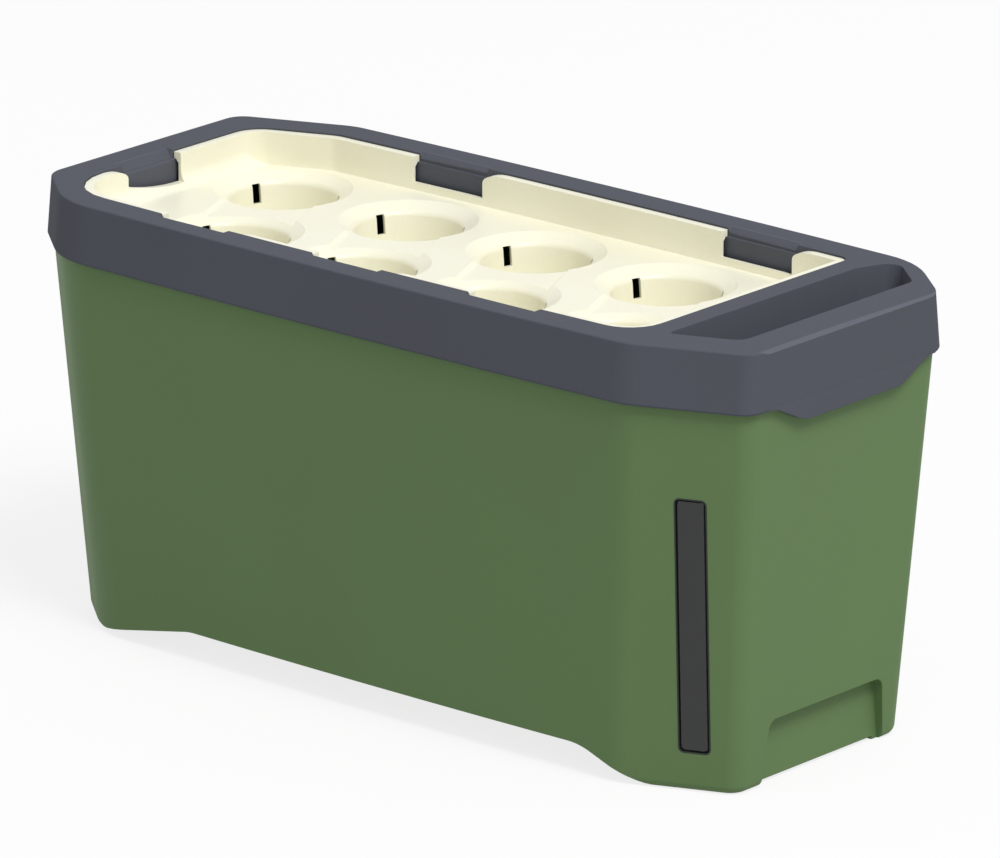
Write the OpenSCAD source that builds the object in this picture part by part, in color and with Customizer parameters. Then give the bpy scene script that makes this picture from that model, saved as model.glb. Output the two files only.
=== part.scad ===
// Self-watering herb trough: a drafted water tank, a top frame with a filling mouth,
// a lift-out planting tray with two staggered rows of slotted cups, and a level window.
// Millimetres, Z up, origin on the ground under the middle of the tank.

/* [Body] */
// Length over the foot of the frame's skirt
length = 501.3; // [440:0.1:700]
// Width over the foot of the frame's skirt, without the bow of the long sides
width = 216.6; // [200:0.1:300]
// Height from the ground to the top of the frame
height = 244; // [200:1:320]
// How far each long side bows out in its middle
side_bow = 2.4; // [0.5:0.1:5]
// Inward lean of the tank's ends from the frame's skirt to the ground
end_lean = 14.6; // [6:0.2:18]
// Inward lean of the tank's long sides from the frame's skirt to the ground
side_lean = 10.6; // [6:0.2:18]
// Wall and floor thickness of the tank
tank_wall = 3; // [2:0.5:4]
// Rounding of the tank's lower edge
foot_r = 4.5; // [3:0.5:8]

/* [Corners] */
// Long leg of the corner cut that carries the window, and of the one opposite
window_cut_x = 64.6; // [50:0.2:70]
// Short leg of the corner cut that carries the window
window_cut_y = 26.7; // [24:0.1:36]
// Leg along the long side of the two plain corner cuts
plain_cut_x = 42; // [36:1:52]
// Leg along the end of the two plain corner cuts
plain_cut_y = 35.2; // [28:0.2:40]
// Edge radius between a long side and a window cut
soft_r = 36; // [28:1:60]
// Edge radius between a window cut and an end
edge_r = 12; // [11:0.5:16]
// Edge radius between a plain cut and a long side
plain_side_r = 55; // [40:1:60]
// Edge radius between a plain cut and an end
plain_end_r = 16; // [12:0.5:20]

/* [Underside] */
// Height of the arch under the long sides
arch_h = 16.6; // [8:0.2:17]
// Distance of the arch from the end beside a window cut
arch_end = 62; // [50:1:90]
// Run of the ramp at that end of the arch
arch_ramp = 41; // [30:1:60]
// Distance of the arch from the end beside a plain cut
arch_tail = 44; // [36:1:60]
// Run of the ramp at that end of the arch
tail_ramp = 80; // [60:1:90]
// Rounding where the ramps meet the arch
arch_r = 40; // [20:1:60]
// Height of the tank floor above the ground
floor_z = 21; // [20.5:0.5:26]
// Flat width of the foot rim on the ground
rim_w = 4; // [3:0.5:8]
// Height of the grip recess in each end
grip_h = 36; // [30:1:50]
// Width of the grip recess at its top
grip_w = 92; // [70:1:100]
// How far each side of the grip recess spreads towards the ground
grip_slant = 4; // [2:0.5:6]
// Corner radius of the grip recess
grip_r = 6; // [3:0.5:9]
// Depth of the grip recess at half its height
grip_depth = 5.5; // [4:0.5:7]
// Gap between the grip panel and the ground
grip_gap = 1.8; // [1:0.2:4]

/* [Top frame] */
// Height of the frame's skirt
skirt_h = 32.2; // [26:0.2:40]
// Outward flare of the skirt's ends over its height
end_flare = 0.7; // [0.3:0.1:3]
// Outward flare of the skirt's long sides over its height
side_flare = 3; // [1:0.1:4]
// Wall thickness of the skirt
skirt_t = 2.8; // [2:0.1:3.2]
// Thickness of the frame's top
deck_t = 5; // [4.5:0.25:7]
// Clearance between the frame and its neighbours
fit_gap = 0.5; // [0.3:0.05:0.6]
// Depth of the frame's inner collar below the top
collar_h = 22; // [18:1:30]
// Thickness of the collar wall
collar_t = 3; // [2.5:0.25:4]
// Width of the ledge that carries the tray's lip
ledge_w = 0.8; // [0.6:0.1:1.2]
// Width of the bevel along the deck's end beside the filling mouth
bevel_w = 8; // [4:0.5:9]
// Drop of that bevel
bevel_h = 1.7; // [1:0.1:3]
// Run-out of that bevel beside the window cut
bevel_ramp = 6; // [4:0.5:12]
// Drop of the grip apron below each end of the skirt
apron_h = 11; // [8:0.5:18]
// Width of the apron where it leaves the skirt
apron_w = 124; // [100:1:128]
// Width of the apron's lower edge
apron_low = 78; // [50:1:88]
// Outward tilt of the apron
apron_tilt = 4; // [3:0.5:8]
// Radius of the curves at the apron's sides
apron_r = 24; // [12:1:36]
// Width of the scoops in the deck beside the tray's notches, which fall to the tray's ledge
scoop_w = 6.8; // [4:0.2:9]
// Ramp at each end of a scoop
scoop_ramp = 4.5; // [2:0.5:8]

/* [Filling mouth] */
// Width of the mouth along the pot
mouth_w = 38; // [32:1:44]
// Deck width between the mouth and the end
mouth_end = 22; // [18:1:26]
// Deck width between the mouth and the window cut
mouth_front = 26; // [20:1:32]
// Deck width between the mouth and the plain cut
mouth_back = 12; // [10:0.5:18]
// Draw-in of the mouth's walls over the collar's depth
mouth_taper = 4; // [2:0.5:6]
// Wall thickness of the mouth
mouth_t = 2.5; // [2:0.25:3]
// Corner radii of the mouth: inner front, outer front, outer back, back, inner back
mouth_radii = [3, 9, 7, 8, 10]; // [2:1:12]

/* [Planting tray] */
// Deck width between the skirt's foot and the tray
tray_inset = 21.4; // [19:0.1:24]
// Deck width between the tray and the filling mouth
bridge_w = 13.5; // [10:0.5:20]
// Corner radii of the tray: right front, right back, both of the back cut, left front
tray_radii = [20, 6, 22, 18, 36]; // [5:1:40]
// Depth of the tray's lip below the frame's top
tray_drop = 1; // [0.5:0.25:2]
// Depth of the tray's floor below the frame's top
tray_h = 19.5; // [16:0.5:20]
// Thickness of the tray's walls and floor
tray_t = 1.8; // [1.4:0.1:2.4]
// Overhang of the tray's lip
lip_w = 3.2; // [2.4:0.1:4]
// Height of the lip
lip_h = 3.8; // [2.4:0.1:3.9]
// Height of the taper under the lip
taper_h = 2.2; // [1:0.1:3]
// Width of the notches in the long walls
notch_w = 49; // [40:1:60]
// Height of the sill left under the notches in the long walls
sill_h = 4.3; // [2:0.1:6]
// Spacing of the front notches; the back ones are twice as far apart
notch_pitch = 108.5; // [100:0.5:130]
// Distance of the first front notch from the tray's right side
front_notch = 86.5; // [60:0.5:100]
// Distance of the first back notch from the tray's right side
back_notch = 60; // [45:0.5:80]
// Width of the notch in the left wall
end_notch_w = 41.5; // [30:0.5:50]
// Middle of that notch
end_notch = -15; // [-20:1:20]
// Height of the sill at the back of that notch
end_sill = 2.5; // [1:0.1:4]
// Rise of that sill towards the front
end_rise = 5.7; // [2:0.1:6]
// Radius of the cove in which the floor sweeps up to the left wall
cove_r = 9; // [4:1:10]
// Length of the curve in which a wall's top falls to a notch
crest_w = 14; // [6:1:20]
// Drop of that curve
crest_h = 5.5; // [3:0.1:6]

/* [Cups] */
// Spacing of the cups along a row
cup_pitch = 90.5; // [80:0.5:100]
// Floor left between the cups' dishes and the tray's long walls
row_margin = 5.5; // [2:0.1:7]
// Shift of the front row against the back row
row_shift = 34; // [20:1:40]
// Outer radius of the sloping dish around a cup
dish_r = 38; // [36:0.5:38.5]
// Depth of the dish
dish_h = 5; // [4:0.5:8]
// Rounding where the dish turns into the cup
brim_r = 4; // [2.5:0.5:5]
// Radius of the cup at its mouth
cup_r = 29.5; // [26:0.5:31]
// Radius of the cup at its bottom
cup_low_r = 25; // [20:0.5:26]
// Depth of the cup below the tray floor
cup_h = 46; // [30:1:70]
// Slots around each cup
slots = 3; // [2:1:6]
// Width of a slot
slot_w = 5; // [3:0.5:6]
// Height of a slot, from the lower edge of the dish down
slot_h = 10.8; // [8:0.2:16]
// Direction of the first slot, in degrees from the pot's length
slot_angle = 42.5; // [0:0.5:90]
// Width of the shallow channel that joins two cups
channel_w = 53; // [40:1:56]
// Depth of the channel
channel_h = 2; // [1:0.25:3]
// Run of the channel's sloping sides
channel_run = 2; // [1:0.25:3]

/* [Level window] */
// Height of the window's middle
window_z = 92; // [85:1:110]
// Height of the window with its seal
window_h = 141.5; // [80:0.5:148]
// Width of the window with its seal
window_w = 17.6; // [14:0.2:22]
// Shift of the window towards the end
window_shift = 6.4; // [0:0.2:7]
// Corner radius of the window
window_r = 3; // [2.2:0.1:5]
// Depth of the window's seat in the tank wall
seat_h = 3.5; // [3:0.25:4]
// Width of the ledge under the seal
seat_w = 3; // [2:0.25:4]
// Thickness of the seal's wall and base
seal_t = 0.7; // [0.6:0.1:1.4]
// How far the seal stands out of the wall
seal_proud = 0.1; // [0.1:0.1:0.6]
// Edge bevel of the lens
lens_bevel = 1.2; // [0.4:0.1:1.4]

/* [Hidden] */
$fn = 64;
arc_steps = 6;
bow_steps = 8;
scoop_steps = 3;
brim_steps = 3;
// Through cuts pass the surface by this much
over = 1;
// Edge break of the skirt's foot, and radius of corners that stay sharp
sharp_r = 0.5;
half_l = length / 2;
half_w = width / 2;
skirt_z = height - skirt_h;
deck_z = height - deck_t;
collar_z = height - collar_h;
// Heights of the tray's floor, top and resting ledge
tray_z = height - tray_h;
tray_top = height - tray_drop;
ledge_z = tray_top - lip_h;
// Insets from the skirt's foot of the tank's outer face, and of the tray's wall below its lip
tank_t = skirt_t + fit_gap;
wall_inset = tray_inset + lip_w;
// Inner side of the filling mouth, and right side, length and middle of the tray
mouth_x = half_l - mouth_end - mouth_w;
tray_x = mouth_x - bridge_w;
tray_len = tray_x + half_l - tray_inset;
tray_mid = tray_x - tray_len / 2;
// Middles of the notches that fit between the right side and the left corners
front_notches = [for (x = [front_notch:notch_pitch:tray_len - tray_radii[4] - notch_w / 2]) tray_x - x];
back_notches = [for (x = [back_notch:2 * notch_pitch:tray_len - window_cut_x - notch_w / 2]) tray_x - x];
// Cups that fit in a row, and distance of each row from the middle
cups_per_row = 1 + floor((tray_len - 2 * (lip_w + tray_t + dish_r) - row_shift) / cup_pitch);
row_y = half_w - wall_inset - tray_t - row_margin - dish_r;
// Heading of the window cut, and lean of its face
cut_angle = atan(window_cut_y / window_cut_x);
cut_lean = atan((end_lean * window_cut_y + side_lean * window_cut_x)
                / norm([window_cut_x, window_cut_y]) / skirt_z);

// Heading of a direction in plan
function heading(d) = atan2(d.y, d.x);

// Turn from one heading to the next, left above 0 and right below
function turn(from, to) = (to - from + 900) % 360 - 180;

// Arc of radius r in n steps that rounds the corner p between its neighbours a and b
function corner_arc(a, p, b, r, n = arc_steps) =
    let (h = heading(p - a), bend = turn(h, heading(b - p)), s = sign(bend) * r)
    let (start = p - s * tan(bend / 2) * [cos(h), sin(h)])
    let (centre = start + s * [-sin(h), cos(h)])
    [for (k = [0:n])
        let (g = h + bend * k / n)
        centre + s * [sin(g), -cos(g)]];

// Points between p and q on an arc that bows out by s; none where s is 0
function bow_points(p, q, s) = s == 0 ? [] :
    let (h = heading(q - p))
    [for (k = [1:bow_steps - 1])
        let (u = k / bow_steps)
        p + (q - p) * u + s * (1 - pow(2 * u - 1, 2)) * [sin(h), -cos(h)]];

// Closed path through rounded corners; bows gives the bow of the edge after each corner
function rounded_path(v, r, bows) =
    let (n = len(v))
    let (arcs = [for (i = [0:n - 1]) corner_arc(v[(i + n - 1) % n], v[i], v[(i + 1) % n], r[i])])
    [for (i = [0:n - 1])
        each concat(arcs[i], bow_points(arcs[i][arc_steps], arcs[(i + 1) % n][0], bows[i]))];

// Leg of a corner cut beside its other leg once the outline is drawn in by t
function cut_leg(leg, other, t) = leg + t * ((norm([leg, other]) - leg) / other - 1);

// Draw-in of the pot's ends and sides at height z: the tank's lean, and above it the skirt's flare
function draft(z) =
    z > skirt_z ? [end_flare, side_flare] * (z - skirt_z) / skirt_h
                : [end_lean, side_lean] * (skirt_z - z) / skirt_z;

// Plan outline of the pot, set in by t from the skirt's foot, with its ends and sides drawn in by d
function pot_corners(t, d = [0, 0]) =
    let (a = half_l - t - d.x, b = half_w - t - d.y)
    let (wx = cut_leg(window_cut_x, window_cut_y, t), wy = cut_leg(window_cut_y, window_cut_x, t))
    let (px = cut_leg(plain_cut_x, plain_cut_y, t), py = cut_leg(plain_cut_y, plain_cut_x, t))
    [[a - wx, -b], [a, wy - b], [a, b - py], [a - px, b],
     [wx - a, b], [-a, b - wy], [-a, py - b], [px - a, -b]];

function pot_path(t, d) =
    let (radii = [soft_r, edge_r, plain_end_r, plain_side_r])
    rounded_path(pot_corners(t, d), [for (i = [0:7]) max(radii[i % 4] - t / 2, tank_wall)],
                 [0, 0, 0, side_bow, 0, 0, 0, side_bow]);

// Plan outline of the tray, set in by t from the skirt's foot
function tray_path(t) =
    let (c = pot_corners(t), x = tray_x + tray_inset - t, more = tray_inset - t)
    rounded_path([[x, c[0].y], [x, c[3].y], c[4], c[5], [c[5].x, c[0].y]],
                 [for (r = tray_radii) r + more], [0, side_bow, 0, 0, side_bow]);

// Plan outline of the filling mouth, set in by t; its corners widen where it grows
function mouth_path(t) =
    let (front = pot_corners(mouth_front + t)[0], back = pot_corners(mouth_back + t)[2])
    let (in = mouth_x + t, out = half_l - mouth_end - t, mid = in + (out - in) / 4)
    let (front_y = function (x) front.y + (x - front.x) * window_cut_y / window_cut_x)
    let (back_y = function (x) back.y - (x - back.x) * plain_cut_y / plain_cut_x)
    rounded_path([[in, front_y(in)], [out, front_y(out)], [out, back_y(out)],
                  [mid, back_y(mid)], [in, back_y(out)]],
                 [for (r = mouth_radii) r + max(-t, 0)], [0, 0, 0, 0, 0]);

// Sections [z, inset] up a lower edge of radius r on a face set in by t
function round_foot(z, r, t) = [for (a = [90:-22.5:0]) [z + r * (1 - sin(a)), t + r * (1 - cos(a))]];

// Solid through a stack of outlines of equal point count
module loft(paths, heights) {
    n = len(paths[0]);
    top = (len(paths) - 1) * n;
    points = [for (i = [0:len(paths) - 1]) for (p = paths[i]) [p.x, p.y, heights[i]]];
    sides = [for (i = [0:len(paths) - 2]) for (k = [0:n - 1])
        let (a = i * n + k, b = i * n + (k + 1) % n)
        each [[a, a + n, b + n], [a, b + n, b]]];
    polyhedron(points, concat([[for (k = [0:n - 1]) k]], sides, [[for (k = [n - 1:-1:0]) top + k]]));
}

// Solid pot shape through sections [z, inset]
module pot_solid(sections) {
    loft([for (s = sections) pot_path(s[1], draft(s[0]))], [for (s = sections) s[0]]);
}

// Prism on the tray's outline
module tray_prism(t, z0, z1) {
    translate([0, 0, z0])
        linear_extrude(z1 - z0)
            polygon(tray_path(t));
}

// Children at both ends of the pot, a half turn apart
module both_ends() {
    for (a = [0, 180])
        rotate(a)
            children();
}

// Upright profile in the end's plane, x across and y up, drawn out along the pot from x0 to x1
module end_extrude(x0, x1) {
    translate([x0, 0, 0])
        rotate([90, 0, 90])
            linear_extrude(x1 - x0)
                children();
}

// Frame of the window: x along the cut, y up the wall, z outwards, origin in its middle
module at_window() {
    c = pot_corners(tank_t, draft(window_z));
    mid = (c[0] + c[1]) / 2 + window_shift * [cos(cut_angle), sin(cut_angle)];
    translate([mid.x, mid.y, window_z])
        rotate(cut_angle)
            rotate([90 + cut_lean, 0, 0])
                children();
}

// Funnel of the filling mouth, set in by t, from the collar's foot up into the deck
module mouth_funnel(t) {
    loft([mouth_path(mouth_taper + t), mouth_path(t)], [collar_z, deck_z + over]);
}

// Plate of the window's outline, drawn in by t, from z0 to z1
module window_plate(t, z0, z1) {
    w = window_w / 2 - t;
    h = window_h / 2 - t;
    r = max(window_r - t, 0.8);
    translate([0, 0, z0])
        linear_extrude(z1 - z0)
            polygon(rounded_path([[w, -h], [w, h], [-w, h], [-w, -h]], [r, r, r, r], [0, 0, 0, 0]));
}

// Outline of the grip recess, made wider all round by t
module grip_outline(t) {
    up = grip_w / 2 + t;
    low = up + grip_slant;
    polygon(rounded_path([[low, -over], [up, grip_h + t], [-up, grip_h + t], [-low, -over]],
                         [sharp_r, grip_r, grip_r, sharp_r], [0, 0, 0, 0]));
}

// Arch under a long side, seen from outside with the window cut at its right
module arch_outline() {
    right = half_l - arch_end;
    left = arch_tail - half_l;
    polygon(rounded_path([[right + arch_ramp * over / arch_h, -over], [right - arch_ramp, arch_h],
                          [left + tail_ramp, arch_h], [left - tail_ramp * over / arch_h, -over]],
                         [sharp_r, arch_r, arch_r, sharp_r], [0, 0, 0, 0]));
}

module tank_outside() {
    pot_solid(concat(round_foot(0, foot_r, tank_t), [[skirt_z, tank_t], [deck_z, tank_t]]));
}

// Water space, open at the top
module tank_inside() {
    t = tank_t + tank_wall;
    pot_solid(concat(round_foot(floor_z, foot_r, t), [[skirt_z, t], [deck_z + over, t]]));
}

// Hollow under the floor, which leaves the foot rim
module tank_underside() {
    t = tank_t + foot_r + rim_w;
    pot_solid([[-over, t], [floor_z - tank_wall, t]]);
}

module planter_tank() {
    grip_x = half_l - tank_t - draft(grip_h / 2).x - grip_depth;
    color("#566a4b")
        difference() {
            union() {
                difference() {
                    tank_outside();
                    tank_inside();
                    tank_underside();
                }
                intersection() {
                    tank_outside();
                    both_ends()
                        end_extrude(grip_x - tank_wall, half_l)
                            grip_outline(tank_wall);
                }
                at_window()
                    window_plate(-seat_w, -seat_h - tank_wall, -tank_wall / 2);
            }
            both_ends() {
                end_extrude(grip_x, half_l)
                    grip_outline(0);
                translate([grip_x - 2 * foot_r, -grip_w / 2, -over])
                    cube([3 * foot_r, grip_w, over + grip_gap]);
                rotate([90, 0, 0])
                    linear_extrude(half_w)
                        arch_outline();
            }
            at_window() {
                window_plate(0, -seat_h, tank_wall);
                window_plate(seat_w, -seat_h - 2 * tank_wall, tank_wall);
            }
            mouth_funnel(-mouth_t - fit_gap);
        }
}

module window_seal() {
    color("#1b1c1d")
        at_window()
            difference() {
                window_plate(0, -seat_h, seal_proud);
                window_plate(seal_t, seal_t - seat_h, seal_proud + over);
                window_plate(seat_w, -seat_h - over, seal_proud + over);
            }
}

module sight_window() {
    color("#46484a")
        at_window() {
            window_plate(seal_t, seal_t - seat_h, -lens_bevel);
            loft([for (t = [seal_t, seal_t + lens_bevel])
                    let (w = window_w / 2 - t, h = window_h / 2 - t, r = window_r - seal_t)
                    rounded_path([[w, -h], [w, h], [-w, h], [-w, -h]], [r, r, r, r], [0, 0, 0, 0])],
                 [-lens_bevel, 0]);
        }
}

// Cut in the deck that falls along the profile's points [y, z], w long in x, with ramps at its ends
module deck_cut(profile, w, ramp) {
    first = profile[0].x;
    last = profile[len(profile) - 1];
    intersection() {
        rotate([90, 0, 90])
            translate([0, 0, -w / 2])
                linear_extrude(w)
                    polygon(concat(profile, [[last.x, over], [first, over]]));
        rotate([90, 0, 0])
            translate([0, 0, -last.x])
                linear_extrude(last.x - first)
                    polygon([[-w / 2, 0], [ramp - w / 2, last.y], [w / 2 - ramp, last.y],
                             [w / 2, 0], [w / 2, over], [-w / 2, over]]);
    }
}

// Children at each notch, with +y towards the tray: along the long sides, or at the left end
module at_side_notches() {
    y = half_w - tray_inset;
    for (x = front_notches)
        translate([x, -y, 0])
            children();
    for (x = back_notches)
        translate([x, y, 0])
            mirror([0, 1, 0])
                children();
}

module at_end_notch() {
    translate([tray_inset - half_l, end_notch, 0])
        rotate(-90)
            children();
}

// Scoops that round the deck over to the tray's ledge and on past it
module scoops() {
    drop = height - ledge_z;
    profile = [for (u = [0:1 / scoop_steps:1 + lip_w / scoop_w]) [scoop_w * (u - 1), -drop * pow(u, 1.6)]];
    translate([0, 0, height]) {
        at_side_notches()
            deck_cut(profile, notch_w, scoop_ramp);
        at_end_notch()
            deck_cut(profile, end_notch_w, scoop_ramp);
    }
}

// Bevel of the deck's outer edge beside the filling mouth, which runs out at the window cut
module end_bevel() {
    c = pot_corners(0, [end_flare, side_flare]);
    from = c[1].y + bevel_ramp;
    to = c[3].y;
    fall = bevel_h / bevel_w;
    translate([c[1].x, (from + to) / 2, height])
        rotate(-90)
            deck_cut([[-bevel_w, 0], [over, -bevel_h - fall * over]], to - from, bevel_ramp);
}

// Grip apron below the skirt at an end
module apron() {
    low = apron_low / 2;
    up = apron_w / 2;
    far = up + apron_r / 4;
    r = apron_r;
    translate([half_l, 0, skirt_z])
        rotate([0, -apron_tilt, 0])
            end_extrude(-skirt_t, 0)
                polygon(rounded_path([[low, -apron_h], [up, 0], [far, 0], [far, skirt_t],
                                      [-far, skirt_t], [-far, 0], [-up, 0], [-low, -apron_h]],
                                     [r, r, sharp_r, sharp_r, sharp_r, sharp_r, r, r],
                                     [0, 0, 0, 0, 0, 0, 0, 0]));
}

module top_frame() {
    lower_open = tray_inset + ledge_w;
    color("#4b4f57")
        difference() {
            union() {
                difference() {
                    pot_solid([[skirt_z, sharp_r], [skirt_z + over, 0],
                               [height - sharp_r, 0], [height, sharp_r]]);
                    pot_solid([[skirt_z - over, skirt_t], [deck_z, skirt_t]]);
                }
                tray_prism(lower_open - collar_t, collar_z, deck_z + over);
                mouth_funnel(-mouth_t);
                both_ends()
                    apron();
            }
            tray_prism(tray_inset - fit_gap, ledge_z, height + over);
            tray_prism(lower_open, collar_z - over, height);
            loft([mouth_path(mouth_taper), mouth_path(0)], [collar_z - over, height + over]);
            end_bevel();
            scoops();
        }
}

// Children at each cup's middle on the tray floor
module at_cups() {
    for (row = [-1, 1], i = [0:cups_per_row - 1])
        translate(concat(cup_place(row, i), tray_z))
            children();
}

// Plan position of cup i in the front (-1) or back (1) row
function cup_place(row, i) =
    [tray_mid - row * row_shift / 2 + (i - (cups_per_row - 1) / 2) * cup_pitch, row * row_y];

// Cup and dish as a revolved form, made larger all round by t, up to z = top
module cup_form(t, top) {
    low = [cup_low_r + t, -cup_h - t];
    brim = [cup_r + t, -dish_h - t / 2];
    rim = [dish_r + t, -t / 2];
    rotate_extrude()
        polygon(concat([[0, low.y], low], corner_arc(low, brim, rim, brim_r - t, brim_steps),
                       [rim, [rim.x, top], [0, top]]));
}

// Slots through the wall of a cup
module cup_slots() {
    for (k = [0:slots - 1])
        rotate(slot_angle + 360 / slots * k)
            translate([cup_low_r - 2 * tray_t, -slot_w / 2, -dish_h - slot_h])
                cube([dish_r - cup_low_r, slot_w, slot_h]);
}

// Channel between the two cups of each pair, made larger by t, up to z = top
module channels(t, top) {
    low = channel_w / 2 - channel_run + t;
    up = channel_w / 2 + t;
    for (i = [0:cups_per_row - 1]) {
        p = cup_place(1, i);
        q = cup_place(-1, i);
        translate([p.x, p.y, tray_z])
            rotate(heading(q - p))
                rotate([90, 0, 90])
                    linear_extrude(norm(q - p))
                        polygon([[-low, -channel_h - t], [low, -channel_h - t], [up, -t],
                                 [up, top], [-up, top], [-up, -t]]);
    }
}

// Notch through a tray wall, w wide, over a sill that climbs by rise towards +x, where the wall's
// top falls to the notch in a curve
module notch(w, sill, rise) {
    top = tray_top - tray_z;
    steps = rise == 0 ? 1 : bow_steps;
    floor_line = [for (k = [0:steps]) [w * (k / steps - 1 / 2), sill + rise * pow(k / steps, 2)]];
    crest = [for (a = [0:15:90]) [w / 2 + crest_w * (1 - cos(a)), top - crest_h * (1 - sin(a))]];
    translate([0, tray_inset / 2, tray_z])
        rotate([90, 0, 0])
            linear_extrude(tray_inset)
                polygon(concat(floor_line, crest, [[w / 2 + crest_w, top + over], [-w / 2, top + over]]));
}

// Cove along the foot of the tray's left wall
module left_cove() {
    curve = [for (a = [0:15:90]) cove_r * [1 - sin(a), 1 - cos(a)]];
    intersection() {
        tray_prism(wall_inset + tray_t / 2, tray_z - tray_t / 2, tray_top);
        translate([wall_inset + tray_t - half_l, half_w, tray_z])
            rotate([90, 0, 0])
                linear_extrude(width)
                    polygon(concat([[-tray_t, -tray_t], [cove_r, -tray_t]], curve, [[-tray_t, cove_r]]));
    }
}

module plant_tray() {
    taper_inset = tray_inset + ledge_w + fit_gap;
    color("#f0ebcd")
        difference() {
            union() {
                difference() {
                    union() {
                        difference() {
                            union() {
                                tray_prism(wall_inset, tray_z - tray_t, tray_top);
                                tray_prism(tray_inset, ledge_z, tray_top);
                                loft([tray_path(wall_inset), tray_path(taper_inset)],
                                     [ledge_z - taper_h, ledge_z]);
                            }
                            tray_prism(wall_inset + tray_t, tray_z, height);
                        }
                        left_cove();
                    }
                    at_side_notches()
                        notch(notch_w, sill_h, 0);
                    at_end_notch()
                        notch(end_notch_w, end_sill, end_rise);
                }
                channels(tray_t, -tray_t / 2);
                at_cups()
                    cup_form(tray_t, -tray_t / 2);
            }
            channels(0, over / 2);
            at_cups() {
                cup_form(0, over / 2);
                cup_slots();
            }
        }
}

planter_tank();
window_seal();
sight_window();
top_frame();
plant_tray();
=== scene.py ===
"""Finishes for a self-watering herb trough: moulded plastics, level window, studio and camera."""

import math

import bpy
from bpy.props import FloatProperty, FloatVectorProperty, PointerProperty
from mathutils import Matrix, Vector


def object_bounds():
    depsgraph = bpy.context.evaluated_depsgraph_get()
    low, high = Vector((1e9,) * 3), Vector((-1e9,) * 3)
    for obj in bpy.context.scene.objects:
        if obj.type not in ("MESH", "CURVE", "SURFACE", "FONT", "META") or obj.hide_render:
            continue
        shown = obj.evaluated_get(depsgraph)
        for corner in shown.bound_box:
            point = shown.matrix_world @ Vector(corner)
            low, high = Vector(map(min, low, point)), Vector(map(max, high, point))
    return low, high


bl_info = {
    "name": "Herb trough finishes",
    "version": (1, 0, 0),
    "blender": (4, 5, 0),
    "location": "View3D > Sidebar > Herb trough",
    "description": "Gives the trough's tank, frame, tray and level window their moulded finishes",
    "category": "Material",
}

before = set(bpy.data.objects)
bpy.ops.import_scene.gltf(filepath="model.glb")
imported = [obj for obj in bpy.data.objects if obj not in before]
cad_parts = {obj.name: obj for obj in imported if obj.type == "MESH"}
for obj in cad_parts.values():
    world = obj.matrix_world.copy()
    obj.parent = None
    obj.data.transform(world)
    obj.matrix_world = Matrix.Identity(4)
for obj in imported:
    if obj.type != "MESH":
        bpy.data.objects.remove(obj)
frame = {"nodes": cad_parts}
CAD_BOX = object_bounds()
MM = 0.001
# Edges sharper than this are real edges; flatter ones are facets of a curve
EDGE_ANGLE = math.radians(24)
# Points closer than this are one point
WELD = 0.001 * MM
# Rays that find the rounding of an edge
EDGE_RAYS = 8
# Cosine between a face and its rounded edge, where the pale edge tint starts and where it is full; that
# tint is partly wear and partly a painted highlight
EDGE_WEAR_AND_HIGHLIGHT_START = 0.995
EDGE_WEAR_AND_HIGHLIGHT_FULL = 0.85
# Top faces that slope about this much get a painted highlight in the pale tint; the band is in their
# normal's height
HIGHLIGHT_SLOPE = math.radians(12)
HIGHLIGHT_BAND = 0.01
# Part of a noise's range that tint and gloss drift over, and the part that the grain's specks use
NOISE_LOW = 0.3
NOISE_HIGH = 0.7
SPECK_LOW = 0.25
SPECK_HIGH = 0.75
# Part of the range that the seal's dust uses, and how much darker and paler than its colour that is
DUST_LOW = 0.35
DUST_HIGH = 0.75
DUST_DARK = 0.8
DUST_PALE = 1.3
# Roughness drifts this much either way over a moulding and over the lens, and upwards over the seal
GLOSS_DRIFT = 0.05
LENS_DRIFT = 0.04
SEAL_DRIFT = 0.15
# Lengths over which the melt's tint, the lens's flow marks and the paper's fibres change
CLOUD = 120 * MM
FLOW = 15 * MM
FIBRE = 4 * MM
# Height of the paper's fibres
FIBRE_DEPTH = 0.02 * MM
POLYPROPYLENE_IOR = 1.49
POLYCARBONATE_IOR = 1.585
ELASTOMER_IOR = 1.5
# Colour inputs and colour result of a Mix node, whose names stand for other kinds of value too
MIX_A = 6
MIX_B = 7
MIXED = 2
WHITE = (1, 1, 1, 1)
# How far the camera sees, in metres
VIEW_REACH = 100


def linear(code):
    """sRGB hex value as linear red, green and blue."""
    parts = [int(code[i:i + 2], 16) / 255 for i in (1, 3, 5)]
    return [c / 12.92 if c <= 0.04045 else ((c + 0.055) / 1.055) ** 2.4 for c in parts]


def colour(label, about, code):
    """A colour that the user can change."""
    return FloatVectorProperty(name=label, description=about, subtype="COLOR", size=3,
                               min=0, max=1, default=linear(code))


def length(label, about, default_mm):
    """A size that the user can change, given in millimetres."""
    return FloatProperty(name=label, description=about, unit="LENGTH", subtype="DISTANCE",
                         min=0, precision=5, default=default_mm * MM)


def share(label, about, default):
    """A share between none and all that the user can change."""
    return FloatProperty(name=label, description=about, subtype="FACTOR", min=0, max=1,
                         default=default)


class TankFinish(bpy.types.PropertyGroup):
    """Green tank."""

    base: colour("Tank colour", "Body colour of the tank", "#658053")
    pale: colour("Tank bloom", "Paler tint where the melt cooled last", "#688456")
    # This tint is partly handling wear and partly a painted highlight, on edges and on low slopes on
    # top
    wear_and_highlight: colour("Tank rub", "Tint of edges that hands rub", "#6f8c5e")
    edge: length("Tank edge", "Rounding of the tank's edges", 0.6)
    grain: length("Tank grain", "Spacing of the tank's mould grain", 0.9)
    depth: length("Tank grain depth", "Depth of the tank's mould grain", 0.03)
    speck: share("Tank speck", "How much the grain changes the tank's tint", 0.03)
    rough: share("Tank roughness", "Roughness of the tank's surface", 0.6)


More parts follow.
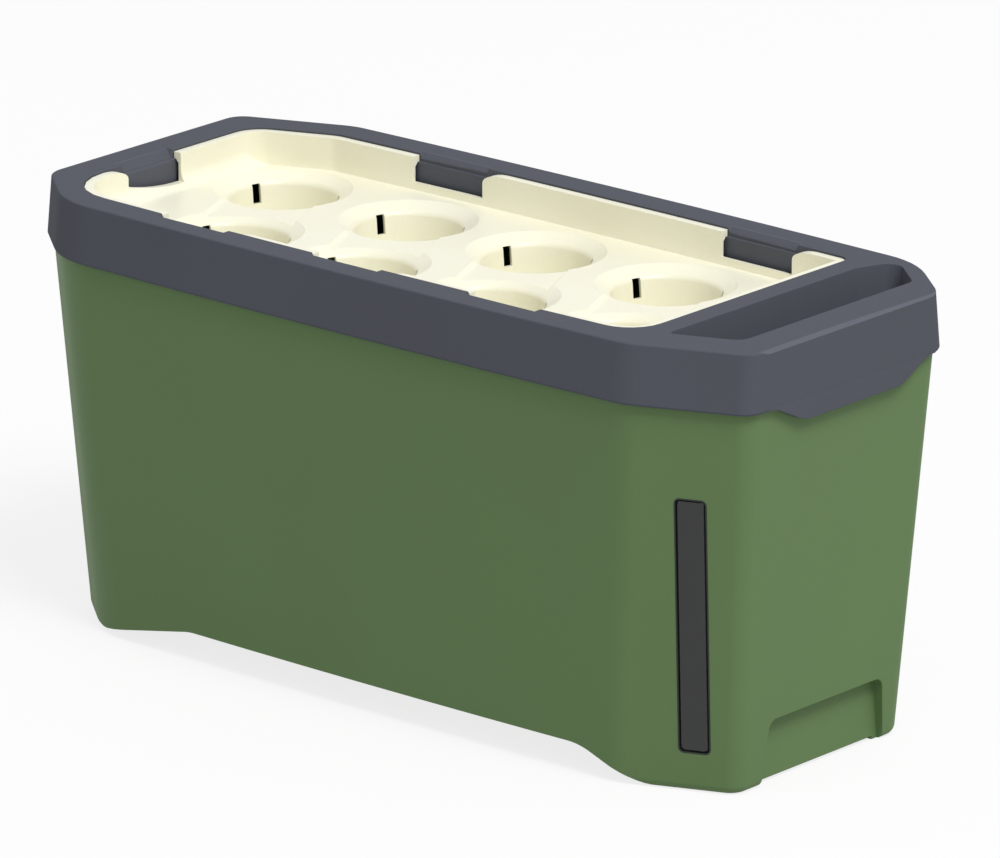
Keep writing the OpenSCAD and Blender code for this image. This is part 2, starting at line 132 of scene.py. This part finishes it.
class FrameFinish(bpy.types.PropertyGroup):
    """Charcoal top frame."""

    base: colour("Frame colour", "Body colour of the frame", "#575a62")
    pale: colour("Frame bloom", "Paler tint where the melt cooled last", "#5a5d66")
    # This tint is partly handling wear and partly a painted highlight, on edges and on the deck's
    # bevels
    wear_and_highlight: colour("Frame rub", "Tint of edges that hands rub and of the deck's bevels", "#666a74")
    edge: length("Frame edge", "Rounding of the frame's edges", 0.5)
    grain: length("Frame grain", "Spacing of the frame's mould grain", 0.8)
    depth: length("Frame grain depth", "Depth of the frame's mould grain", 0.03)
    speck: share("Frame speck", "How much the grain changes the frame's tint", 0.04)
    rough: share("Frame roughness", "Roughness of the frame's surface", 0.75)


class TrayFinish(bpy.types.PropertyGroup):
    """Cream planting tray."""

    base: colour("Tray colour", "Body colour of the tray", "#faf7e0")
    pale: colour("Tray bloom", "Paler tint where the melt cooled last", "#fcfae6")
    # This tint is partly handling wear and partly a painted highlight, on edges and on low slopes on
    # top
    wear_and_highlight: colour("Tray rub", "Tint of edges that hands rub", "#fdfcee")
    edge: length("Tray edge", "Rounding of the tray's edges", 0.4)
    grain: length("Tray grain", "Spacing of the tray's faint polish marks", 1.6)
    depth: length("Tray grain depth", "Depth of the tray's polish marks", 0.01)
    speck: share("Tray speck", "How much the marks change the tray's tint", 0.01)
    rough: share("Tray roughness", "Roughness of the tray's surface", 0.35)


class WindowFinish(bpy.types.PropertyGroup):
    """Level window and its seal."""

    lens: colour("Lens tint", "Smoke tint of the lens", "#303133")
    seal: colour("Seal colour", "Colour of the seal", "#242824")
    edge: length("Lens edge", "Rounding of the edges of the lens and its seal", 0.2)
    grain: length("Seal grain", "Spacing of the seal's skin", 0.6)
    depth: length("Mark depth", "Depth of the lens's flow marks and of the seal's skin", 0.05)
    smoke: share("Lens smoke", "How much the flow marks change the lens's tint", 0.06)
    rough: share("Lens roughness", "Roughness of the lens", 0.18)
    seal_rough: share("Seal roughness", "Roughness of the seal where its skin is smoothest", 0.6)


class StageSettings(bpy.types.PropertyGroup):
    """Floor, light and camera."""

    floor: colour("Floor colour", "Colour of the floor's paper", "#cbcbc9")
    floor_size: FloatProperty(name="Floor size", description="Side of the square floor",
                              unit="LENGTH", default=30)
    shadow: share("Shadow", "How much of the trough's shadow the floor shows", 0.2)
    sky: FloatProperty(name="Sky", description="Level of the even light from all round",
                       default=0.485)
    key: FloatProperty(name="Key light", description="Level of the lamp at the right", default=0.605)
    key_way: FloatVectorProperty(name="Key direction", description="Towards the key lamp",
                                 subtype="DIRECTION", default=(0.55, -0.14, 0.82))
    key_reach: FloatProperty(name="Key distance", description="From the trough to the key lamp",
                             unit="LENGTH", default=9)
    key_size: FloatProperty(name="Key size", description="Width of the round key lamp",
                            unit="LENGTH", default=4)
    place: FloatVectorProperty(name="Camera place", description="Where the camera stands",
                               subtype="TRANSLATION", unit="LENGTH", precision=4,
                               default=(3.37751, -3.86916, 1.76707))
    azimuth: FloatProperty(name="Azimuth", description="Camera's direction round the trough",
                           subtype="ANGLE", default=math.radians(41.0322))
    elevation: FloatProperty(name="Elevation", description="Camera's height above the horizon",
                             subtype="ANGLE", default=math.radians(17.638))
    lens: FloatProperty(name="Lens", description="Focal length on a 36 mm sensor, in millimetres",
                        default=365.148)


class TroughSettings(bpy.types.PropertyGroup):
    """All settings of the trough."""

    tank: PointerProperty(type=TankFinish)
    frame: PointerProperty(type=FrameFinish)
    tray: PointerProperty(type=TrayFinish)
    window: PointerProperty(type=WindowFinish)
    stage: PointerProperty(type=StageSettings)


def add_node(tree, kind, inputs=None, **settings):
    """Adds a node; settings are its properties, inputs its values or the sockets it takes them from."""
    made = tree.nodes.new(kind)
    for name, value in settings.items():
        setattr(made, name, value)
    for socket, value in (inputs or {}).items():
        if isinstance(value, bpy.types.NodeSocket):
            tree.links.new(value, made.inputs[socket])
        else:
            made.inputs[socket].default_value = value
    return made


def new_material(name):
    """Empty node material and its tree."""
    material = bpy.data.materials.new(name)
    material.use_nodes = True
    material.node_tree.nodes.clear()
    return material, material.node_tree


def rgba(value):
    """Colour with full opacity."""
    return (*value, 1)


def moulded_plastic(name, finish, shader):
    """Injection-moulded plastic: drifting tint, mould grain, and a pale tint on edges (wear and painted
    highlight) and low top slopes (painted highlight).
    """
    material, tree = new_material(name)
    place = add_node(tree, "ShaderNodeTexCoord").outputs["Object"]
    # Cooling of the melt leaves a cloudy tint
    cloud = add_node(tree, "ShaderNodeTexNoise",
                     {"Vector": place, "Scale": 1 / CLOUD, "Detail": 3, "Roughness": 0.5})
    bloom = add_node(tree, "ShaderNodeMapRange",
                     {"Value": cloud.outputs["Fac"], "From Min": NOISE_LOW, "From Max": NOISE_HIGH})
    tint = add_node(tree, "ShaderNodeMix",
                    {"Factor": bloom.outputs["Result"], MIX_A: rgba(finish.base),
                     MIX_B: rgba(finish.pale)}, data_type="RGBA")
    # The mould's own small radii are tinted paler: partly wear from handling, partly a painted
    # highlight where they catch the light
    soft = add_node(tree, "ShaderNodeBevel", {"Radius": finish.edge}, samples=EDGE_RAYS)
    sharp = add_node(tree, "ShaderNodeNewGeometry").outputs["Normal"]
    facing = add_node(tree, "ShaderNodeVectorMath", {0: soft.outputs["Normal"], 1: sharp},
                      operation="DOT_PRODUCT")
    edge = add_node(tree, "ShaderNodeMapRange",
                    {"Value": facing.outputs["Value"], "From Min": EDGE_WEAR_AND_HIGHLIGHT_START, "From Max": EDGE_WEAR_AND_HIGHLIGHT_FULL})
    # Low slopes on top, such as the deck's end bevels, take the pale tint too, as a painted highlight
    up = add_node(tree, "ShaderNodeSeparateXYZ", {"Vector": sharp}).outputs["Z"]
    painted_bevel_highlight = add_node(tree, "ShaderNodeMath", {0: up, 1: math.cos(HIGHLIGHT_SLOPE), 2: HIGHLIGHT_BAND},
                     operation="COMPARE")
    # Edges take the pale tint as wear and painted highlight, low top slopes as painted highlight
    wear_and_highlight_mask = add_node(tree, "ShaderNodeMath", {0: edge.outputs["Result"], 1: painted_bevel_highlight.outputs["Value"]},
                    operation="MAXIMUM")
    wear_and_highlight_tint = add_node(tree, "ShaderNodeMix",
                      {"Factor": wear_and_highlight_mask.outputs["Value"], MIX_A: tint.outputs[MIXED],
                       MIX_B: rgba(finish.wear_and_highlight)}, data_type="RGBA")
    # Real grain is about 0.1 mm; it is drawn coarser so that it shows
    grain = add_node(tree, "ShaderNodeTexNoise",
                     {"Vector": place, "Scale": 1 / finish.grain, "Detail": 2, "Roughness": 0.6})
    speck = add_node(tree, "ShaderNodeMapRange",
                     {"Value": grain.outputs["Fac"], "From Min": SPECK_LOW, "From Max": SPECK_HIGH,
                      "To Min": 1 - finish.speck, "To Max": 1 + finish.speck})
    skin = add_node(tree, "ShaderNodeMix",
                    {"Factor": 1, MIX_A: wear_and_highlight_tint.outputs[MIXED], MIX_B: speck.outputs["Result"]},
                    data_type="RGBA", blend_type="MULTIPLY")
    gloss = add_node(tree, "ShaderNodeMapRange",
                     {"Value": cloud.outputs["Fac"], "From Min": NOISE_LOW, "From Max": NOISE_HIGH,
                      "To Min": finish.rough - GLOSS_DRIFT, "To Max": finish.rough + GLOSS_DRIFT})
    bump = add_node(tree, "ShaderNodeBump",
                    {"Height": grain.outputs["Fac"], "Distance": finish.depth, "Strength": 1,
                     "Normal": soft.outputs["Normal"]})
    body = add_node(tree, "ShaderNodeBsdfPrincipled",
                    {"Base Color": skin.outputs[MIXED], "Roughness": gloss.outputs["Result"],
                     "Normal": bump.outputs["Normal"], **shader})
    add_node(tree, "ShaderNodeOutputMaterial", {"Surface": body.outputs["BSDF"]})
    return material


def smoked_polycarbonate(finish):
    """Smoked polycarbonate, polished mould: a dark clear lens that shows what is behind it dimly."""
    material, tree = new_material("smoked_polycarbonate_polished")
    place = add_node(tree, "ShaderNodeTexCoord").outputs["Object"]
    # Flow marks spread from where the melt came in
    flow = add_node(tree, "ShaderNodeTexNoise",
                    {"Vector": place, "Scale": 1 / FLOW, "Detail": 2, "Roughness": 0.5})
    smoke = add_node(tree, "ShaderNodeMapRange",
                     {"Value": flow.outputs["Fac"], "From Min": NOISE_LOW, "From Max": NOISE_HIGH,
                      "To Min": 1 - finish.smoke, "To Max": 1 + finish.smoke})
    tint = add_node(tree, "ShaderNodeMix",
                    {"Factor": 1, MIX_A: rgba(finish.lens), MIX_B: smoke.outputs["Result"]},
                    data_type="RGBA", blend_type="MULTIPLY")
    gloss = add_node(tree, "ShaderNodeMapRange",
                     {"Value": flow.outputs["Fac"], "From Min": NOISE_LOW, "From Max": NOISE_HIGH,
                      "To Min": finish.rough - LENS_DRIFT, "To Max": finish.rough + LENS_DRIFT})
    soft = add_node(tree, "ShaderNodeBevel", {"Radius": finish.edge}, samples=EDGE_RAYS)
    bump = add_node(tree, "ShaderNodeBump",
                    {"Height": flow.outputs["Fac"], "Distance": finish.depth, "Strength": 1,
                     "Normal": soft.outputs["Normal"]})
    body = add_node(tree, "ShaderNodeBsdfPrincipled",
                    {"Base Color": tint.outputs[MIXED], "Roughness": gloss.outputs["Result"],
                     "Normal": bump.outputs["Normal"], "IOR": POLYCARBONATE_IOR,
                     "Specular IOR Level": 0.32, "Transmission Weight": 0.35})
    add_node(tree, "ShaderNodeOutputMaterial", {"Surface": body.outputs["BSDF"]})
    return material


def moulded_elastomer(finish):
    """Thermoplastic elastomer, matt mould: black, dull and a little dusty."""
    material, tree = new_material("thermoplastic_elastomer_matt")
    place = add_node(tree, "ShaderNodeTexCoord").outputs["Object"]
    # Skin of the matt mould; finer in life, drawn coarser so that it shows
    skin = add_node(tree, "ShaderNodeTexNoise",
                    {"Vector": place, "Scale": 1 / finish.grain, "Detail": 3, "Roughness": 0.6})
    # Its hollows stay clean and darker, and its tops hold pale dust
    dust = add_node(tree, "ShaderNodeMapRange",
                    {"Value": skin.outputs["Fac"], "From Min": DUST_LOW, "From Max": DUST_HIGH,
                     "To Min": DUST_DARK, "To Max": DUST_PALE})
    tint = add_node(tree, "ShaderNodeMix",
                    {"Factor": 1, MIX_A: rgba(finish.seal), MIX_B: dust.outputs["Result"]},
                    data_type="RGBA", blend_type="MULTIPLY")
    gloss = add_node(tree, "ShaderNodeMapRange",
                     {"Value": skin.outputs["Fac"], "To Min": finish.seal_rough,
                      "To Max": finish.seal_rough + SEAL_DRIFT})
    soft = add_node(tree, "ShaderNodeBevel", {"Radius": finish.edge}, samples=EDGE_RAYS)
    bump = add_node(tree, "ShaderNodeBump",
                    {"Height": skin.outputs["Fac"], "Distance": finish.depth, "Strength": 1,
                     "Normal": soft.outputs["Normal"]})
    body = add_node(tree, "ShaderNodeBsdfPrincipled",
                    {"Base Color": tint.outputs[MIXED], "Roughness": gloss.outputs["Result"],
                     "Normal": bump.outputs["Normal"], "IOR": ELASTOMER_IOR})
    add_node(tree, "ShaderNodeOutputMaterial", {"Surface": body.outputs["BSDF"]})
    return material


def shading_group():
    """Nodes that shade a moulding smooth up to its real edges."""
    name = "smooth_to_edges"
    if name in bpy.data.node_groups:
        return bpy.data.node_groups[name]
    group = bpy.data.node_groups.new(name, "GeometryNodeTree")
    for way in ("INPUT", "OUTPUT"):
        group.interface.new_socket("Geometry", in_out=way, socket_type="NodeSocketGeometry")
    given = add_node(group, "NodeGroupInput").outputs["Geometry"]
    bend = add_node(group, "GeometryNodeInputMeshEdgeAngle").outputs["Unsigned Angle"]
    real = add_node(group, "FunctionNodeCompare", {0: bend, 1: EDGE_ANGLE},
                    data_type="FLOAT", operation="GREATER_THAN")
    shaded = add_node(group, "GeometryNodeSetMeshNormal",
                      {"Mesh": given, "Remove Custom": True,
                       "Edge Sharpness": real.outputs["Result"], "Face Sharpness": False},
                      mode="SHARPNESS")
    add_node(group, "NodeGroupOutput", {"Geometry": shaded.outputs["Mesh"]})
    return group


def smooth(piece):
    """Shades a moulding smooth up to its real edges; its own mesh stays as it is."""
    weld = piece.modifiers.new("Weld", "WELD")
    weld.merge_threshold = WELD
    shade = piece.modifiers.new("Shading", "NODES")
    shade.node_group = shading_group()
    weigh = piece.modifiers.new("Flat faces", "WEIGHTED_NORMAL")
    weigh.keep_sharp = True


def dress(name, material):
    """Gives a CAD piece its finish and smooth shading."""
    piece = frame["nodes"][name]
    piece.data.materials.clear()
    piece.data.materials.append(material)
    smooth(piece)


class TROUGH_OT_tank(bpy.types.Operator):
    """Dress the green tank"""

    bl_idname = "trough.tank"
    bl_label = "Dress tank"

    def execute(self, context):
        finish = context.scene.trough.tank
        # Polypropylene from a spark-eroded mould: even, matt, with a soft broad sheen
        material = moulded_plastic("polypropylene_green_spark_eroded", finish,
                                   {"IOR": POLYPROPYLENE_IOR, "Specular IOR Level": 0.25})
        dress("planter_tank", material)
        return {"FINISHED"}


class TROUGH_OT_frame(bpy.types.Operator):
    """Dress the charcoal frame"""

    bl_idname = "trough.frame"
    bl_label = "Dress frame"

    def execute(self, context):
        finish = context.scene.trough.frame
        # Polypropylene from a spark-eroded mould, dyed charcoal: matt with a cool grey sheen
        material = moulded_plastic("polypropylene_charcoal_spark_eroded", finish,
                                   {"IOR": POLYPROPYLENE_IOR, "Specular IOR Level": 0.06})
        dress("top_frame", material)
        return {"FINISHED"}


class TROUGH_OT_tray(bpy.types.Operator):
    """Dress the cream planting tray"""

    bl_idname = "trough.tray"
    bl_label = "Dress tray"

    def execute(self, context):
        finish = context.scene.trough.tray
        # Thin polypropylene from a polished mould: satin, and light glows a little in its walls
        material = moulded_plastic("polypropylene_cream_polished", finish,
                                   {"IOR": POLYPROPYLENE_IOR, "Subsurface Weight": 0.05,
                                    "Subsurface Radius": (2 * MM, 1.6 * MM, 0.9 * MM),
                                    "Subsurface Scale": 1})
        dress("plant_tray", material)
        return {"FINISHED"}


class TROUGH_OT_window(bpy.types.Operator):
    """Dress the level window and its seal"""

    bl_idname = "trough.window"
    bl_label = "Dress level window"

    def execute(self, context):
        finish = context.scene.trough.window
        dress("sight_window", smoked_polycarbonate(finish))
        dress("window_seal", moulded_elastomer(finish))
        return {"FINISHED"}


def seen_rays(tree):
    """Socket that is 1 for rays that show the background: straight, mirrored or through the lens."""
    path = add_node(tree, "ShaderNodeLightPath")
    straight = add_node(tree, "ShaderNodeMath",
                        {0: path.outputs["Is Camera Ray"], 1: path.outputs["Is Glossy Ray"]},
                        operation="MAXIMUM")
    return add_node(tree, "ShaderNodeMath",
                    {0: straight.outputs["Value"], 1: path.outputs["Is Transmission Ray"]},
                    operation="MAXIMUM").outputs["Value"]


def floor_material(settings):
    """Matt white paper sweep that reads white to the camera and keeps part of the shadow."""
    material, tree = new_material("paper_sweep_matt")
    place = add_node(tree, "ShaderNodeTexCoord").outputs["Object"]
    fibre = add_node(tree, "ShaderNodeTexNoise",
                     {"Vector": place, "Scale": 1 / FIBRE, "Detail": 2})
    bump = add_node(tree, "ShaderNodeBump",
                    {"Height": fibre.outputs["Fac"], "Distance": FIBRE_DEPTH, "Strength": 1})
    seen = seen_rays(tree)
    tint = add_node(tree, "ShaderNodeMix",
                    {"Factor": seen, MIX_A: rgba(settings.floor), MIX_B: WHITE}, data_type="RGBA")
    paper = add_node(tree, "ShaderNodeBsdfDiffuse",
                     {"Color": tint.outputs[MIXED], "Normal": bump.outputs["Normal"]})
    white = add_node(tree, "ShaderNodeEmission", {"Color": WHITE, "Strength": 1})
    cover = add_node(tree, "ShaderNodeMath", {0: seen, 1: 1 - settings.shadow},
                     operation="MULTIPLY")
    both = add_node(tree, "ShaderNodeMixShader",
                    {0: cover.outputs["Value"], 1: paper.outputs["BSDF"],
                     2: white.outputs["Emission"]})
    add_node(tree, "ShaderNodeOutputMaterial", {"Surface": both.outputs["Shader"]})
    return material


def even_sky(level):
    """World that lights evenly and looks white to the camera and in reflections."""
    world = bpy.data.worlds.new("even_sky")
    world.use_nodes = True
    tree = world.node_tree
    tree.nodes.clear()
    strength = add_node(tree, "ShaderNodeMapRange",
                        {"Value": seen_rays(tree), "To Min": level, "To Max": 1})
    light = add_node(tree, "ShaderNodeBackground",
                     {"Color": WHITE, "Strength": strength.outputs["Result"]})
    add_node(tree, "ShaderNodeOutputWorld", {"Surface": light.outputs["Background"]})
    return world


def aim(thing, place, target):
    """Puts a lamp at a place, looking at a target."""
    thing.location = place
    thing.rotation_euler = (target - place).to_track_quat("-Z", "Y").to_euler()


class TROUGH_OT_stage(bpy.types.Operator):
    """Set the floor, the light and the camera"""

    bl_idname = "trough.stage"
    bl_label = "Set stage"

    def execute(self, context):
        scene = context.scene
        settings = scene.trough.stage
        half = settings.floor_size / 2
        mesh = bpy.data.meshes.new("floor")
        mesh.from_pydata([(-half, -half, 0), (half, -half, 0), (half, half, 0), (-half, half, 0)],
                         [], [(0, 1, 2, 3)])
        mesh.materials.append(floor_material(settings))
        floor = bpy.data.objects.new("floor", mesh)
        scene.collection.objects.link(floor)
        scene.world = even_sky(settings.sky)

        low, high = CAD_BOX
        middle = (low + high) / 2
        reach = settings.key_reach
        lamp = bpy.data.lights.new("key", "AREA")
        lamp.shape = "DISK"
        lamp.size = settings.key_size
        # A white surface that faces a flat lamp of P watts at d metres is P / (pi d) ** 2 bright
        lamp.energy = settings.key * (math.pi * reach) ** 2
        key = bpy.data.objects.new("key", lamp)
        scene.collection.objects.link(key)
        aim(key, middle + reach * Vector(settings.key_way).normalized(), middle)

        azimuth, elevation = settings.azimuth, settings.elevation
        away = Vector((math.sin(azimuth), -math.cos(azimuth), 0))
        back = math.cos(elevation) * away + Vector((0, 0, math.sin(elevation)))
        right = Vector((math.cos(azimuth), math.sin(azimuth), 0))
        up = back.cross(right)
        camera = bpy.data.objects.new("camera", bpy.data.cameras.new("camera"))
        camera.data.lens = settings.lens
        camera.data.clip_end = VIEW_REACH
        turn = Matrix((right, up, back)).transposed().to_4x4()
        camera.matrix_world = Matrix.Translation(settings.place) @ turn
        scene.collection.objects.link(camera)
        scene.camera = camera
        scene.view_settings.view_transform = "Standard"
        return {"FINISHED"}


class TROUGH_PT_panel(bpy.types.Panel):
    """Lists the steps that dress the trough."""

    bl_idname = "TROUGH_PT_panel"
    bl_label = "Herb trough"
    bl_space_type = "VIEW_3D"
    bl_region_type = "UI"
    bl_category = "Herb trough"

    def draw(self, context):
        for step in STEPS:
            self.layout.operator(step.bl_idname)
        settings = context.scene.trough
        for part in ("tank", "frame", "tray", "window", "stage"):
            box = self.layout.box()
            group = getattr(settings, part)
            for name in group.bl_rna.properties.keys():
                if name not in ("rna_type", "name"):
                    box.prop(group, name)


STEPS = (TROUGH_OT_tank, TROUGH_OT_frame, TROUGH_OT_tray, TROUGH_OT_window, TROUGH_OT_stage)
GROUPS = (TankFinish, FrameFinish, TrayFinish, WindowFinish, StageSettings, TroughSettings)


def register():
    for kind in (*GROUPS, *STEPS, TROUGH_PT_panel):
        bpy.utils.register_class(kind)
    bpy.types.Scene.trough = PointerProperty(type=TroughSettings)


def unregister():
    del bpy.types.Scene.trough
    for kind in reversed((*GROUPS, *STEPS, TROUGH_PT_panel)):
        bpy.utils.unregister_class(kind)


def main():
    """Dresses every piece and sets the stage."""
    register()
    bpy.ops.trough.tank()
    bpy.ops.trough.frame()
    bpy.ops.trough.tray()
    bpy.ops.trough.window()
    bpy.ops.trough.stage()


if __name__ == "__main__":
    main()
